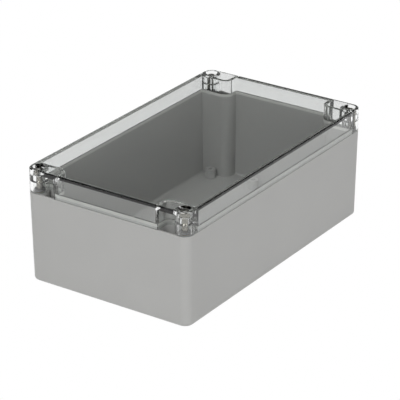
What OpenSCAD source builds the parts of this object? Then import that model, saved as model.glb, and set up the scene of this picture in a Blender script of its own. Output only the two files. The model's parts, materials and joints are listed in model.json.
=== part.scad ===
// Sealed polycarbonate box: drafted grey base, clear lid on four captive screws.
// Millimetres, +Z up, origin at the middle of the underside.

/* [Box] */
// Length over the end walls
length = 200; // [170:1:260]
// Width over the side walls
width = 120; // [100:1:180]
// Height of the base, up to the parting line
base_height = 60; // [35:1:100]
// Height of the lid above the parting line
lid_height = 16; // [15:0.5:24]
// Radius of the upright corners
corner_radius = 6; // [5.5:0.1:7]
// Thickness of the side and end walls
wall = 3; // [2.6:0.1:3.6]
// Thickness of the base floor
floor_thickness = 3; // [2:0.1:4]
// Thickness of the lid panel
panel_thickness = 3; // [2:0.1:3.4]
// Draft of the base walls, in degrees
draft = 0.7; // [0.2:0.1:1]
// Radius round the underside of the base
bottom_radius = 2; // [0.5:0.1:2.4]
// Radius round the top of the lid
lid_edge_radius = 1; // [0.4:0.1:1.6]

/* [Corner wells] */
// From the end face to the inner face of the well
well_depth_x = 10.5; // [10:0.1:12]
// From the side face to the far face of the well
well_depth_y = 21.5; // [20:0.1:26]
// Radius of the well's inner corner
well_radius = 3.5; // [2:0.1:5]
// Thickness of the wall round the well
well_wall = 2.5; // [2.2:0.1:3]
// Thickness of the skin that closes the well in the end face
well_skin = 1.2; // [1:0.1:1.6]
// Thickness of the floor of the well
well_floor = 5; // [3:0.1:8]
// Diameter of the wall-mounting hole in the well
mounting_hole_d = 4.5; // [3:0.1:6]
// From the side face to the wall-mounting hole
mounting_inset_y = 16.5; // [15:0.1:17.5]

/* [Seal] */
// Thickness of the lid skirt outside the seal
skirt = 1.2; // [0.9:0.1:1.4]
// Thickness of the lid skirt beside the wells
well_skirt = 0.7; // [0.5:0.1:0.9]
// Height of the tongue on the base rim
tongue_height = 1.5; // [1:0.1:2.5]
// Clearance between the tongue and the skirt
tongue_clearance = 0.3; // [0.2:0.05:0.4]
// Height of the pressed gasket
gasket_height = 2; // [1:0.1:3]

/* [Screws] */
// From the outer faces to the screw axis
screw_inset = 6; // [5.8:0.1:6.4]
// Radius of the post round each screw
post_radius = 6; // [5.6:0.1:6.2]
// Diameter over the screw thread
screw_d = 3.9; // [3:0.1:4]
// Length of the screw under its head
screw_length = 16; // [15.2:0.1:18]
// Diameter of the screw head
head_d = 6.5; // [5.5:0.1:7]
// Height of the screw head
head_height = 3; // [2:0.1:3.4]
// Clearance round the screw head in its counterbore
head_clearance = 0.65; // [0.3:0.05:0.8]
// Clearance round the screw in the lid
shank_clearance = 0.3; // [0.2:0.05:0.5]
// From the lid top down to the seat of the screw head
head_seat_depth = 4.7; // [3.6:0.1:5.2]
// Width of a slot in the cross recess
recess_width = 1.1; // [0.8:0.1:1.4]
// Span of the cross recess
recess_span = 4.2; // [3:0.1:4.8]
// Depth of the cross recess
recess_depth = 1.9; // [1:0.1:1.9]

/* [Screw retainers] */
// Diameter of the retaining washer
retainer_d = 7; // [6:0.1:7.2]
// Thickness of the retaining washer
retainer_thickness = 1.2; // [0.8:0.1:1.6]
// From the parting line up to the washer
retainer_rise = 0.6; // [0.4:0.1:0.9]
// Clearance of the washer on the screw
retainer_clearance = 0.05; // [0.02:0.01:0.1]
// Clearance round the washer in the lid
retainer_gap = 0.5; // [0.3:0.1:0.6]
// Depth of the washer's recess in the lid
retainer_recess = 6.8; // [5:0.1:8]

/* [Threaded inserts] */
// Diameter over the insert
insert_d = 6; // [5.4:0.1:6.6]
// Length of the insert
insert_length = 9.5; // [7:0.1:12]
// Clearance round the screw in the insert
thread_clearance = 0.05; // [0.02:0.01:0.1]
// Width of the grooves round the insert
insert_groove = 1.2; // [0.6:0.1:1.6]
// Depth of the grooves round the insert
insert_groove_depth = 0.4; // [0.2:0.1:0.5]
// Depth of the blind hole below the insert
relief_depth = 5; // [2:0.1:8]

/* [Floor bosses] */
// Height of a boss above the floor
boss_height = 6; // [3:0.1:12]
// Diameter of a boss at its top
boss_d = 7; // [6:0.1:8]
// Flare of a boss at its foot, on the radius
boss_flare = 0.4; // [0:0.1:0.6]
// Diameter of the pilot hole in a boss
boss_hole_d = 3.2; // [2.5:0.1:4]
// Bottom of the pilot hole above the underside
boss_hole_floor = 1.8; // [1:0.1:1.9]
// From the end face to the outer bosses
outer_boss_inset_x = 17.5; // [15:0.1:24]
// From the side face to the outer bosses
outer_boss_inset_y = 13; // [8:0.1:24]
// From the end face to the inner bosses
inner_boss_inset_x = 12.5; // [8:0.1:24]
// From the side face to the inner bosses
inner_boss_inset_y = 42.5; // [40:0.1:45]

/* [Hidden] */

LEFT = -1;
RIGHT = 1;
FRONT = -1;
BACK = 1;

round_facets = 96;    // true circles
hull_facets = 48;     // circles inside a hull, which stay facets
cut = 1;              // how far a cut runs past the face that it opens
disc = 0.01;          // thickness of the discs that a hull joins

half_length = length / 2;
half_width = width / 2;
lid_top = base_height + lid_height;
panel_underside = lid_top - panel_thickness;
groove_top = base_height + tongue_height + gasket_height;

screw_x = half_length - screw_inset;
screw_y = half_width - screw_inset;
screw_hole_r = screw_d / 2 + shank_clearance;
head_seat = lid_top - head_seat_depth;
screw_tip = head_seat - screw_length;
tip_chamfer = screw_d / 8;

retainer_bottom = base_height + retainer_rise;
insert_bottom = base_height - insert_length;

well_x = half_length - well_depth_x;
well_y = half_width - well_depth_y;
mounting_x = half_length - screw_inset;
mounting_y = half_width - mounting_inset_y;

$fn = round_facets;

// Puts one corner's work at all four corners.
module four_corners() {
    for (side = [LEFT, RIGHT], face = [FRONT, BACK])
        mirror([side == LEFT ? 1 : 0, 0, 0])
            mirror([0, face == FRONT ? 1 : 0, 0])
                children();
}

// ---- outlines ----

// Rectangle with its middle at the origin and round corners.
module rounded_rectangle(size_x, size_y, radius) {
    square([size_x - 2 * radius, size_y], center = true);
    square([size_x, size_y - 2 * radius], center = true);
    four_corners()
        translate([size_x / 2 - radius, size_y / 2 - radius])
            circle(radius);
}

// Corner of the box that the well and its wall take up. The argument is how far its
// edge stands off the well, towards the inside of the box.
module well_corner(stand_off) {
    radius = well_radius + stand_off;
    edge_x = well_x - stand_off;
    edge_y = well_y - stand_off;
    translate([edge_x + radius, edge_y])
        square([half_length - edge_x, half_width - edge_y + cut]);
    translate([edge_x, edge_y + radius])
        square([half_length - edge_x, half_width - edge_y + cut]);
    translate([edge_x + radius, edge_y + radius])
        circle(radius);
}

// What lies inside the line of the seal, at one depth in the walls.
module sealed_area(depth, well_stand_off) {
    difference() {
        rounded_rectangle(length - 2 * depth, width - 2 * depth, corner_radius - depth);
        four_corners() well_corner(well_stand_off);
    }
}

// Hollow between the well's wall and the screw post.
module well_outline() {
    difference() {
        intersection() {
            well_corner(0);
            translate([well_x - cut, well_y - cut])
                square([well_depth_x + 2 * cut, screw_y - well_y + cut]);
        }
        translate([screw_x, screw_y])
            circle(post_radius);
    }
}

// Ring that the tongue of the base and the gasket share.
module seal_ring(clearance) {
    difference() {
        sealed_area(skirt + clearance, well_skirt + clearance);
        sealed_area(wall, well_wall);
    }
}

// ---- base ----

// Upright corners that lean in towards the foot, joined by flat walls.
module drafted_box(inset, foot, top, foot_radius) {
    hull()
        four_corners()
            for (end = [foot, top]) {
                lean = (base_height - end) * tan(draft);
                radius = corner_radius - inset;
                translate([half_length - inset - lean - radius, half_width - inset - lean - radius, end])
                    if (end == foot)
                        rounded_foot(radius, foot_radius);
                    else
                        translate([0, 0, -disc])
                            cylinder(h = disc, r = radius, $fn = hull_facets);
            }
}

// Disc whose lower edge is a quarter round.
module rounded_foot(radius, foot_radius) {
    rotate_extrude($fn = hull_facets)
        intersection() {
            square([radius, foot_radius]);
            union() {
                square([radius - foot_radius, foot_radius]);
                translate([radius - foot_radius, foot_radius])
                    circle(foot_radius, $fn = hull_facets);
            }
        }
}

module base_cavity() {
    cavity_corner = corner_radius - wall;
    difference() {
        drafted_box(wall, floor_thickness, base_height + cut, cavity_corner / 2);
        translate([0, 0, floor_thickness - cut])
            linear_extrude(base_height)
                four_corners() well_corner(well_wall);
        floor_bosses();
    }
}

// Wells, closed in the end faces by a skin that follows the draft.
module base_wells() {
    intersection() {
        translate([0, 0, well_floor])
            linear_extrude(base_height)
                four_corners() well_outline();
        drafted_box(well_skin, floor_thickness, base_height + cut, well_skin);
    }
}

module boss(inset_x, inset_y) {
    translate([half_length - inset_x, half_width - inset_y, floor_thickness - cut])
        cylinder(h = boss_height + cut, r1 = boss_d / 2 + boss_flare, r2 = boss_d / 2);
}

module floor_bosses() {
    four_corners() {
        boss(outer_boss_inset_x, outer_boss_inset_y);
        boss(inner_boss_inset_x, inner_boss_inset_y);
    }
}

module boss_hole(inset_x, inset_y) {
    translate([half_length - inset_x, half_width - inset_y, boss_hole_floor])
        cylinder(h = floor_thickness + boss_height, d = boss_hole_d);
}

module base_holes() {
    four_corners() {
        boss_hole(outer_boss_inset_x, outer_boss_inset_y);
        boss_hole(inner_boss_inset_x, inner_boss_inset_y);
        translate([mounting_x, mounting_y, -cut])
            cylinder(h = well_floor + 2 * cut, d = mounting_hole_d);
        translate([screw_x, screw_y, 0]) {
            insert_body();
            translate([0, 0, insert_bottom - relief_depth])
                cylinder(h = relief_depth + cut, r = screw_d / 2 + thread_clearance);
        }
    }
}

module base() {
    color("dimgray") {
        difference() {
            drafted_box(0, 0, base_height, bottom_radius);
            base_cavity();
            base_wells();
            base_holes();
        }
        translate([0, 0, base_height])
            linear_extrude(tongue_height)
                seal_ring(tongue_clearance);
    }
}

// ---- lid ----

// Quarter of a disc, the profile of the lid's round top edge.
module edge_profile() {
    intersection() {
        circle(lid_edge_radius);
        square(lid_edge_radius);
    }
}

// Slab with upright round corners and a quarter round along its top edge.
module lid_slab() {
    edge_x = half_length - lid_edge_radius;
    edge_y = half_width - lid_edge_radius;
    straight_x = half_length - corner_radius;
    straight_y = half_width - corner_radius;
    linear_extrude(lid_height - lid_edge_radius)
        rounded_rectangle(length, width, corner_radius);
    linear_extrude(lid_height)
        rounded_rectangle(2 * edge_x, 2 * edge_y, corner_radius - lid_edge_radius);
    translate([0, 0, lid_height - lid_edge_radius])
        four_corners() {
            translate([0, edge_y, 0])
                rotate([90, 0, 90])
                    linear_extrude(straight_x)
                        edge_profile();
            translate([edge_x, straight_y, 0])
                rotate([90, 0, 0])
                    linear_extrude(straight_y)
                        edge_profile();
            translate([straight_x, straight_y, 0])
                rotate_extrude()
                    translate([corner_radius - lid_edge_radius, 0])
                        edge_profile();
        }
}

module lid_screw_holes() {
    four_corners()
        translate([screw_x, screw_y, 0]) {
            translate([0, 0, base_height - cut])
                cylinder(h = lid_height, r = screw_hole_r);
            translate([0, 0, head_seat])
                cylinder(h = head_seat_depth + cut, r = head_d / 2 + head_clearance);
            translate([0, 0, base_height - cut])
                cylinder(h = retainer_recess + cut, r = retainer_d / 2 + retainer_gap);
        }
}

module lid() {
    color("lightcyan", 0.4)
        difference() {
            translate([0, 0, base_height])
                lid_slab();
            translate([0, 0, base_height - cut])
                linear_extrude(panel_underside - base_height + cut) {
                    sealed_area(wall, well_wall);
                    four_corners() well_outline();
                }
            translate([0, 0, base_height - cut])
                linear_extrude(groove_top - base_height + cut)
                    sealed_area(skirt, well_skirt);
            lid_screw_holes();
        }
}

module gasket() {
    color("gainsboro")
        translate([0, 0, base_height + tongue_height])
            linear_extrude(gasket_height)
                seal_ring(0);
}

// ---- screws, retainers and inserts ----

module lid_screw(side, face) {
    shank_r = screw_d / 2;
    head_r = head_d / 2;
    head_edge = head_height / 5;
    color("silver")
        translate([side * screw_x, face * screw_y, 0])
            difference() {
                union() {
                    translate([0, 0, screw_tip])
                        cylinder(h = tip_chamfer, r1 = shank_r - tip_chamfer, r2 = shank_r);
                    translate([0, 0, screw_tip + tip_chamfer])
                        cylinder(h = screw_length - tip_chamfer, r = shank_r);
                    translate([0, 0, head_seat])
                        cylinder(h = head_height - head_edge, r = head_r);
                    translate([0, 0, head_seat + head_height - head_edge])
                        cylinder(h = head_edge, r1 = head_r, r2 = head_r - head_edge);
                }
                cross_recess();
            }
}

// Cross recess that narrows towards the point of the driver.
module cross_recess() {
    translate([0, 0, head_seat + head_height - recess_depth])
        intersection() {
            cylinder(h = recess_depth + cut, r1 = recess_width / 2, r2 = recess_span / 2 + cut);
            for (turn = [0, 90])
                rotate([0, 0, turn])
                    translate([-recess_span / 2, -recess_width / 2, 0])
                        cube([recess_span, recess_width, recess_depth + cut]);
        }
}

module screw_retainer(side, face) {
    color("darkslategray")
        translate([side * screw_x, face * screw_y, retainer_bottom])
            difference() {
                cylinder(h = retainer_thickness, d = retainer_d);
                translate([0, 0, -cut])
                    cylinder(h = retainer_thickness + 2 * cut, r = screw_d / 2 + retainer_clearance);
            }
}

// Outside of the insert, which is also the hole that the base leaves for it.
module insert_body() {
    band = (insert_length - 2 * insert_groove) / 3;
    translate([0, 0, insert_bottom]) {
        cylinder(h = insert_length, r = insert_d / 2 - insert_groove_depth);
        for (step = [0, 1, 2])
            translate([0, 0, step * (band + insert_groove)])
                cylinder(h = band, d = insert_d);
    }
}

module threaded_insert(side, face) {
    color("goldenrod")
        translate([side * screw_x, face * screw_y, 0])
            difference() {
                insert_body();
                translate([0, 0, insert_bottom - cut])
                    cylinder(h = insert_length + 2 * cut, r = screw_d / 2 + thread_clearance);
            }
}

base();
lid();
gasket();
lid_screw(LEFT, FRONT);  // lid_screw_front_left
lid_screw(RIGHT, FRONT);  // lid_screw_front_right
lid_screw(LEFT, BACK);  // lid_screw_back_left
lid_screw(RIGHT, BACK);  // lid_screw_back_right
screw_retainer(LEFT, FRONT);  // screw_retainer_front_left
screw_retainer(RIGHT, FRONT);  // screw_retainer_front_right
screw_retainer(LEFT, BACK);  // screw_retainer_back_left
screw_retainer(RIGHT, BACK);  // screw_retainer_back_right
threaded_insert(LEFT, FRONT);  // threaded_insert_front_left
threaded_insert(RIGHT, FRONT);  // threaded_insert_front_right
threaded_insert(LEFT, BACK);  // threaded_insert_back_left
threaded_insert(RIGHT, BACK);  // threaded_insert_back_right
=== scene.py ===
"""Sealed polycarbonate box with a clear lid: finishes, lamps, floor and camera."""
import json
import math

import bpy
from bpy.props import FloatProperty, FloatVectorProperty, PointerProperty
from mathutils import Euler, Matrix, Vector

bl_info = {
    "name": "Clear-Lid Box",
    "version": (1, 0, 0),
    "blender": (4, 5, 0),
    "location": "3D View > Sidebar > Clear-Lid Box",
    "description": "Finishes and stages a sealed polycarbonate box with a clear lid",
    "category": "Object",
}

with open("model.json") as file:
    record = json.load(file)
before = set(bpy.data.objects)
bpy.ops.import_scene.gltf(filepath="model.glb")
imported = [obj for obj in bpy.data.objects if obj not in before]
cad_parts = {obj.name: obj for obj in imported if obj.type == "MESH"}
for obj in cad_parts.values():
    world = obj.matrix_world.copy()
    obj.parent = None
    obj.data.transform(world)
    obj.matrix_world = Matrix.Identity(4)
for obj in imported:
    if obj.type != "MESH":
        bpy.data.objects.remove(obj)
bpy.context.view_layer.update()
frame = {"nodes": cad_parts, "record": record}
SLOTS = {entry["slot"]: entry for entry in frame["record"]["materials"]}
CORNERS = ("front_left", "front_right", "back_left", "back_right")

# Refractive indices.
POLYCARBONATE_IOR = 1.585
SILICONE_IOR = 1.41
NYLON_IOR = 1.53

# Texture scales, in features for each metre.
MOULD_GRAIN = 5200.0
MOULD_FLOW = 22.0
LID_HAZE = 60.0
SILICONE_GRAIN = 1800.0
METAL_WEAR = 900.0
SCREW_RINGS = 900.0
INSERT_RINGS = 1200.0
NYLON_CLOUD = 700.0
FLOOR_CLOTH = 3.0

# Heights of the silicone's grain and of the turning marks, in metres.
SILICONE_GRAIN_HEIGHT = 0.00001
TURNING_MARK_HEIGHT = 0.000004

# Share of the light of the room that goes straight through the lid to the pieces below.
LID_PASSING_SHARE = 0.8

# Tones of the world, against how far a direction points upwards.
BACKDROP_TOP = 0.16
ROOM_START = 0.28
ROOM_END = 0.66
CEILING_START = 0.78
ROOM_TONE = 0.05

FLOOR_COLOR = (0.82, 0.82, 0.82)
LAMP_AIM = (0.0, 0.0, 0.04)

# The camera's place in metres, its turn about X, Y and Z in degrees, and its lens in millimetres.
CAMERA_PLACE = (-1.02872, -0.70248, 0.60699)
CAMERA_TURN = (65.1980, 0.0844, -55.7324)
CAMERA_LENS = 193.731
CAMERA_SENSOR = 36.0


def slot_color(slot):
    """The colour that the record gives to a material slot."""
    return tuple(SLOTS[slot]["base_color"][:3])


# ---- settings ----


def color_setting(name, description, default):
    """A colour of three channels."""
    return FloatVectorProperty(
        name=name,
        description=description,
        subtype="COLOR",
        size=3,
        min=0.0,
        max=1.0,
        default=default,
    )


def power_setting(name, description, default):
    """The power of a lamp, in watts."""
    return FloatProperty(name=name, description=description, min=0.0, default=default)


class BoxFinishSettings(bpy.types.PropertyGroup):
    """Colours and surfaces of the box's pieces."""

    base_color: color_setting(
        "Base colour", "Colour of the moulded base", slot_color("base_plastic")
    )
    base_roughness: FloatProperty(
        name="Base roughness",
        description="Mean roughness of the moulded base",
        subtype="FACTOR",
        min=0.0,
        max=1.0,
        default=0.42,
    )
    base_texture: FloatProperty(
        name="Base texture depth",
        description="Height of the mould texture on the base",
        subtype="DISTANCE",
        unit="LENGTH",
        min=0.0,
        default=0.00002,
    )
    lid_tint: color_setting(
        "Lid tint", "Tint of the clear polycarbonate", (0.975, 0.985, 0.98)
    )
    lid_ior: FloatProperty(
        name="Lid refraction",
        description="Refractive index of the polycarbonate",
        min=1.0,
        max=2.0,
        default=POLYCARBONATE_IOR,
    )
    seal_color: color_setting(
        "Seal colour", "Colour of the silicone gasket", slot_color("silicone")
    )
    screw_color: color_setting(
        "Screw colour", "Colour of the stainless steel", (0.24, 0.23, 0.2)
    )
    retainer_color: color_setting(
        "Retainer colour", "Colour of the nylon retaining washers", slot_color("retainer_plastic")
    )
    insert_color: color_setting(
        "Insert colour", "Colour of the brass inserts", slot_color("insert_brass")
    )


class BoxStageSettings(bpy.types.PropertyGroup):
    """Lamps, world and floor."""

    key_power: power_setting(
        "Key lamp", "Power of the lamp that faces the end of the box, in watts", 15.0
    )
    fill_power: power_setting(
        "Fill lamp", "Power of the lamp that faces the long side, in watts", 8.0
    )
    top_power: power_setting(
        "Top lamp", "Power of the lamp over the lid, in watts", 12.0
    )
    sky_level: FloatProperty(
        name="Sky level",
        description="Brightness of the room above the pale backdrop",
        min=0.0,
        max=1.0,
        default=0.25,
    )
    floor_size: FloatProperty(
        name="Floor size",
        description="Side of the square floor",
        subtype="DISTANCE",
        unit="LENGTH",
        default=20.0,
    )


# ---- materials ----


def new_material(name):
    """An empty node material and its output node."""
    material = bpy.data.materials.new(name)
    material.use_nodes = True
    material.node_tree.nodes.clear()
    output = material.node_tree.nodes.new("ShaderNodeOutputMaterial")
    return material, material.node_tree, output


def object_noise(tree, scale, detail=3.0):
    """Noise on Object coordinates, in features for each metre."""
    place = tree.nodes.new("ShaderNodeTexCoord")
    noise = tree.nodes.new("ShaderNodeTexNoise")
    noise.inputs["Scale"].default_value = scale
    noise.inputs["Detail"].default_value = detail
    tree.links.new(place.outputs["Object"], noise.inputs["Vector"])
    return noise.outputs["Fac"]


def spread(tree, source, low, high):
    """A value that runs from low to high as the source runs over its middle."""
    fit = tree.nodes.new("ShaderNodeMapRange")
    fit.inputs["From Min"].default_value = 0.3
    fit.inputs["From Max"].default_value = 0.7
    fit.inputs["To Min"].default_value = low
    fit.inputs["To Max"].default_value = high
    tree.links.new(source, fit.inputs["Value"])
    return fit.outputs["Result"]


def shaded(tree, color, source, depth):
    """The colour, a little darker where the source is low."""
    mix = tree.nodes.new("ShaderNodeMix")
    mix.data_type = "RGBA"
    mix.inputs["A"].default_value = (*(channel * (1 - depth) for channel in color), 1)
    mix.inputs["B"].default_value = (*color, 1)
    tree.links.new(source, mix.inputs["Factor"])
    return mix.outputs["Result"]


def bump(tree, source, height):
    """A normal that a height field tilts."""
    node = tree.nodes.new("ShaderNodeBump")
    node.inputs["Distance"].default_value = height
    tree.links.new(source, node.inputs["Height"])
    return node.outputs["Normal"]


def surface(tree, output, **sockets):
    """A Principled surface with these sockets linked or set."""
    shader = tree.nodes.new("ShaderNodeBsdfPrincipled")
    for name, value in sockets.items():
        socket = shader.inputs[name.replace("_", " ")]
        if isinstance(value, bpy.types.NodeSocket):
            tree.links.new(value, socket)
        else:
            socket.default_value = value
    tree.links.new(shader.outputs["BSDF"], output.inputs["Surface"])
    return shader


def moulded_grey(settings):
    """Fine matt mould texture with a faint flow of tone."""
    material, tree, output = new_material("Moulded grey polycarbonate")
    grain = object_noise(tree, MOULD_GRAIN, 4.0)
    flow = object_noise(tree, MOULD_FLOW, 2.0)
    rough = settings.base_roughness
    surface(
        tree,
        output,
        Base_Color=shaded(tree, settings.base_color, spread(tree, flow, 0.0, 1.0), 0.03),
        Roughness=spread(tree, grain, rough - 0.06, rough + 0.06),
        Normal=bump(tree, grain, settings.base_texture),
        IOR=POLYCARBONATE_IOR,
    )
    return material


def clear_polycarbonate(settings):
    """Polished clear plastic that lets the light of the room through to the pieces below."""
    material, tree, output = new_material("Clear polycarbonate")
    haze = object_noise(tree, LID_HAZE, 2.0)
    glass = surface(
        tree,
        output,
        Base_Color=(*settings.lid_tint, 1),
        Roughness=spread(tree, haze, 0.0, 0.012),
        IOR=settings.lid_ior,
        Transmission_Weight=1.0,
    )
    passing = tree.nodes.new("ShaderNodeBsdfTransparent")
    passing.inputs["Color"].default_value = (*settings.lid_tint, 1)
    path = tree.nodes.new("ShaderNodeLightPath")
    soft = tree.nodes.new("ShaderNodeMath")
    soft.operation = "MAXIMUM"
    tree.links.new(path.outputs["Is Shadow Ray"], soft.inputs[0])
    tree.links.new(path.outputs["Is Diffuse Ray"], soft.inputs[1])
    share = tree.nodes.new("ShaderNodeMath")
    share.operation = "MULTIPLY"
    share.inputs[1].default_value = LID_PASSING_SHARE
    tree.links.new(soft.outputs["Value"], share.inputs[0])
    mix = tree.nodes.new("ShaderNodeMixShader")
    tree.links.new(share.outputs["Value"], mix.inputs["Fac"])
    tree.links.new(glass.outputs["BSDF"], mix.inputs[1])
    tree.links.new(passing.outputs["BSDF"], mix.inputs[2])
    tree.links.new(mix.outputs["Shader"], output.inputs["Surface"])
    return material


def silicone(settings):
    """Satin silicone with a faint moulded grain."""
    material, tree, output = new_material("Silicone seal")
    grain = object_noise(tree, SILICONE_GRAIN)
    surface(
        tree,
        output,
        Base_Color=shaded(tree, settings.seal_color, grain, 0.06),
        Roughness=spread(tree, grain, 0.5, 0.62),
        Normal=bump(tree, grain, SILICONE_GRAIN_HEIGHT),
        IOR=SILICONE_IOR,
    )
    return material


def turned_metal(name, color, rough, ring_scale):
    """Metal with fine turning marks across its axis."""
    material, tree, output = new_material(name)
    place = tree.nodes.new("ShaderNodeTexCoord")
    marks = tree.nodes.new("ShaderNodeTexWave")
    marks.bands_direction = "Z"
    marks.inputs["Scale"].default_value = ring_scale
    marks.inputs["Distortion"].default_value = 2.0
    tree.links.new(place.outputs["Object"], marks.inputs["Vector"])
    wear = object_noise(tree, METAL_WEAR)
    surface(
        tree,
        output,
        Base_Color=shaded(tree, color, wear, 0.18),
        Roughness=spread(tree, wear, rough - 0.05, rough + 0.08),
        Normal=bump(tree, marks.outputs["Fac"], TURNING_MARK_HEIGHT),
        Metallic=1.0,
    )
    return material


def nylon(settings):
    """Faintly clouded nylon, in the colour of the retaining washers."""
    material, tree, output = new_material("Nylon retainer")
    cloud = object_noise(tree, NYLON_CLOUD)
    surface(
        tree,
        output,
        Base_Color=shaded(tree, settings.retainer_color, cloud, 0.08),
        Roughness=spread(tree, cloud, 0.32, 0.45),
        IOR=NYLON_IOR,
    )
    return material


def finish_nodes(nodes, material):
    """Gives a material to CAD nodes."""
    for node in nodes:
        mesh = frame["nodes"][node].data
        mesh.materials.clear()
        mesh.materials.append(material)


# ---- operators ----


class BOX_OT_base(bpy.types.Operator):
    """Finish the moulded base and its gasket"""

    bl_idname = "clearbox.base"
    bl_label = "Base and Gasket"

    def execute(self, context):
        settings = context.scene.box_finish
        finish_nodes(["base"], moulded_grey(settings))
        finish_nodes(["gasket"], silicone(settings))
        return {"FINISHED"}


class BOX_OT_lid(bpy.types.Operator):
    """Finish the clear lid"""

    bl_idname = "clearbox.lid"
    bl_label = "Clear Lid"

    def execute(self, context):
        finish_nodes(["lid"], clear_polycarbonate(context.scene.box_finish))
        return {"FINISHED"}


class BOX_OT_fasteners(bpy.types.Operator):
    """Finish the captive screws, their retaining washers and the brass inserts"""

    bl_idname = "clearbox.fasteners"
    bl_label = "Screws, Retainers and Inserts"

    def execute(self, context):
        settings = context.scene.box_finish
        steel = turned_metal("Stainless steel", settings.screw_color, 0.24, SCREW_RINGS)
        brass = turned_metal("Turned brass", settings.insert_color, 0.3, INSERT_RINGS)
        finish_nodes([f"lid_screw_{corner}" for corner in CORNERS], steel)
        finish_nodes([f"threaded_insert_{corner}" for corner in CORNERS], brass)
        finish_nodes([f"screw_retainer_{corner}" for corner in CORNERS], nylon(settings))
        return {"FINISHED"}


# ---- stage ----


def white_to_the_eye(tree, output, lit):
    """Plain white for the camera and for what glass and metal show, and lit for the rest."""
    path = tree.nodes.new("ShaderNodeLightPath")
    seen = path.outputs["Is Camera Ray"]
    for ray in ("Is Glossy Ray", "Is Transmission Ray"):
        either = tree.nodes.new("ShaderNodeMath")
        either.operation = "MAXIMUM"
        tree.links.new(seen, either.inputs[0])
        tree.links.new(path.outputs[ray], either.inputs[1])
        seen = either.outputs["Value"]
    white = tree.nodes.new("ShaderNodeEmission")
    white.inputs["Strength"].default_value = 1.0
    mix = tree.nodes.new("ShaderNodeMixShader")
    tree.links.new(seen, mix.inputs["Fac"])
    tree.links.new(lit, mix.inputs[1])
    tree.links.new(white.outputs["Emission"], mix.inputs[2])
    tree.links.new(mix.outputs["Shader"], output.inputs["Surface"])


def floor_paint():
    """Pale studio floor."""
    material, tree, output = new_material("Studio floor")
    cloth = object_noise(tree, FLOOR_CLOTH)
    paint = tree.nodes.new("ShaderNodeBsdfDiffuse")
    tree.links.new(shaded(tree, FLOOR_COLOR, cloth, 0.03), paint.inputs["Color"])
    white_to_the_eye(tree, output, paint.outputs["BSDF"])
    return material


def add_lamp(name, place, size, power):
    """A square area lamp that faces the box."""
    light = bpy.data.lights.new(name, "AREA")
    light.energy = power
    light.size = size
    lamp = bpy.data.objects.new(name, light)
    bpy.context.scene.collection.objects.link(lamp)
    lamp.location = place
    towards = Vector(LAMP_AIM) - Vector(place)
    lamp.rotation_euler = towards.to_track_quat("-Z", "Y").to_euler()


def studio_world(level):
    """White round the horizon, a dim room above it with a lit ceiling, and white for the camera."""
    world = bpy.data.worlds.new("Studio")
    bpy.context.scene.world = world
    world.use_nodes = True
    tree = world.node_tree
    background = tree.nodes["Background"]
    direction = tree.nodes.new("ShaderNodeTexCoord")
    parts = tree.nodes.new("ShaderNodeSeparateXYZ")
    tree.links.new(direction.outputs["Generated"], parts.inputs["Vector"])
    ramp = tree.nodes.new("ShaderNodeValToRGB")
    tree.links.new(parts.outputs["Z"], ramp.inputs["Fac"])
    stops = ramp.color_ramp.elements
    stops[0].position = BACKDROP_TOP
    stops[0].color = (1, 1, 1, 1)
    stops[1].position = ROOM_START
    stops[1].color = (ROOM_TONE, ROOM_TONE, ROOM_TONE, 1)
    for height, tone in ((ROOM_END, ROOM_TONE), (CEILING_START, level)):
        stop = stops.new(height)
        stop.color = (tone, tone, tone, 1)
    path = tree.nodes.new("ShaderNodeLightPath")
    mix = tree.nodes.new("ShaderNodeMix")
    mix.data_type = "RGBA"
    mix.inputs["B"].default_value = (1, 1, 1, 1)
    tree.links.new(path.outputs["Is Camera Ray"], mix.inputs["Factor"])
    tree.links.new(ramp.outputs["Color"], mix.inputs["A"])
    tree.links.new(mix.outputs["Result"], background.inputs["Color"])
    background.inputs["Strength"].default_value = 1.0


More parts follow.
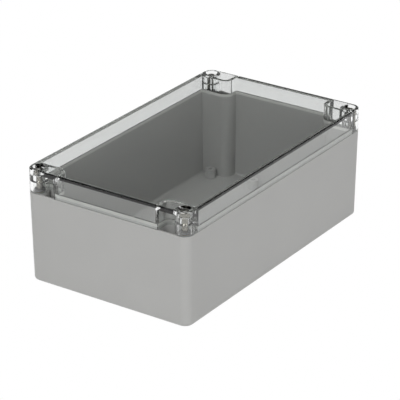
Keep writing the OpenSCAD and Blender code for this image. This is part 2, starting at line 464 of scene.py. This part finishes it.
def add_camera():
    """Long lens from above the front left corner."""
    lens = bpy.data.cameras.new("Camera")
    lens.lens = CAMERA_LENS
    lens.sensor_width = CAMERA_SENSOR
    camera = bpy.data.objects.new("Camera", lens)
    bpy.context.scene.collection.objects.link(camera)
    turn = Euler([math.radians(angle) for angle in CAMERA_TURN])
    camera.matrix_world = Matrix.LocRotScale(Vector(CAMERA_PLACE), turn, None)
    bpy.context.scene.camera = camera


class BOX_OT_stage(bpy.types.Operator):
    """Add the floor, the world, the lamps and the camera"""

    bl_idname = "clearbox.stage"
    bl_label = "Studio Stage"

    def execute(self, context):
        settings = context.scene.box_stage
        context.scene.view_settings.view_transform = "Standard"
        bpy.ops.object.select_all(action="DESELECT")
        bpy.ops.mesh.primitive_plane_add(size=settings.floor_size, location=(0, 0, 0))
        floor = context.object
        floor.name = "studio_floor"
        floor.data.materials.append(floor_paint())
        studio_world(settings.sky_level)
        for name, place, size, power in (
            ("Key lamp", (-1.6, -0.2, 1.1), 1.0, settings.key_power),
            ("Fill lamp", (-0.3, -1.7, 0.7), 1.0, settings.fill_power),
            ("Top lamp", (0.0, 0.0, 2.2), 1.2, settings.top_power),
        ):
            add_lamp(name, place, size, power)
        add_camera()
        return {"FINISHED"}


class BOX_PT_panel(bpy.types.Panel):
    """Lists the steps that finish the box"""

    bl_idname = "BOX_PT_panel"
    bl_label = "Clear-Lid Box"
    bl_space_type = "VIEW_3D"
    bl_region_type = "UI"
    bl_category = "Clear-Lid Box"

    def draw(self, context):
        layout = self.layout
        for settings in (context.scene.box_finish, context.scene.box_stage):
            for name in settings.__annotations__:
                layout.prop(settings, name)
        for operator in OPERATORS:
            layout.operator(operator.bl_idname)


OPERATORS = (BOX_OT_base, BOX_OT_lid, BOX_OT_fasteners, BOX_OT_stage)
CLASSES = (BoxFinishSettings, BoxStageSettings, *OPERATORS, BOX_PT_panel)


def register():
    for item in CLASSES:
        bpy.utils.register_class(item)
    bpy.types.Scene.box_finish = PointerProperty(type=BoxFinishSettings)
    bpy.types.Scene.box_stage = PointerProperty(type=BoxStageSettings)


def unregister():
    del bpy.types.Scene.box_stage
    del bpy.types.Scene.box_finish
    for item in reversed(CLASSES):
        bpy.utils.unregister_class(item)


def main():
    register()
    bpy.ops.clearbox.base()
    bpy.ops.clearbox.lid()
    bpy.ops.clearbox.fasteners()
    bpy.ops.clearbox.stage()


if __name__ == "__main__":
    main()
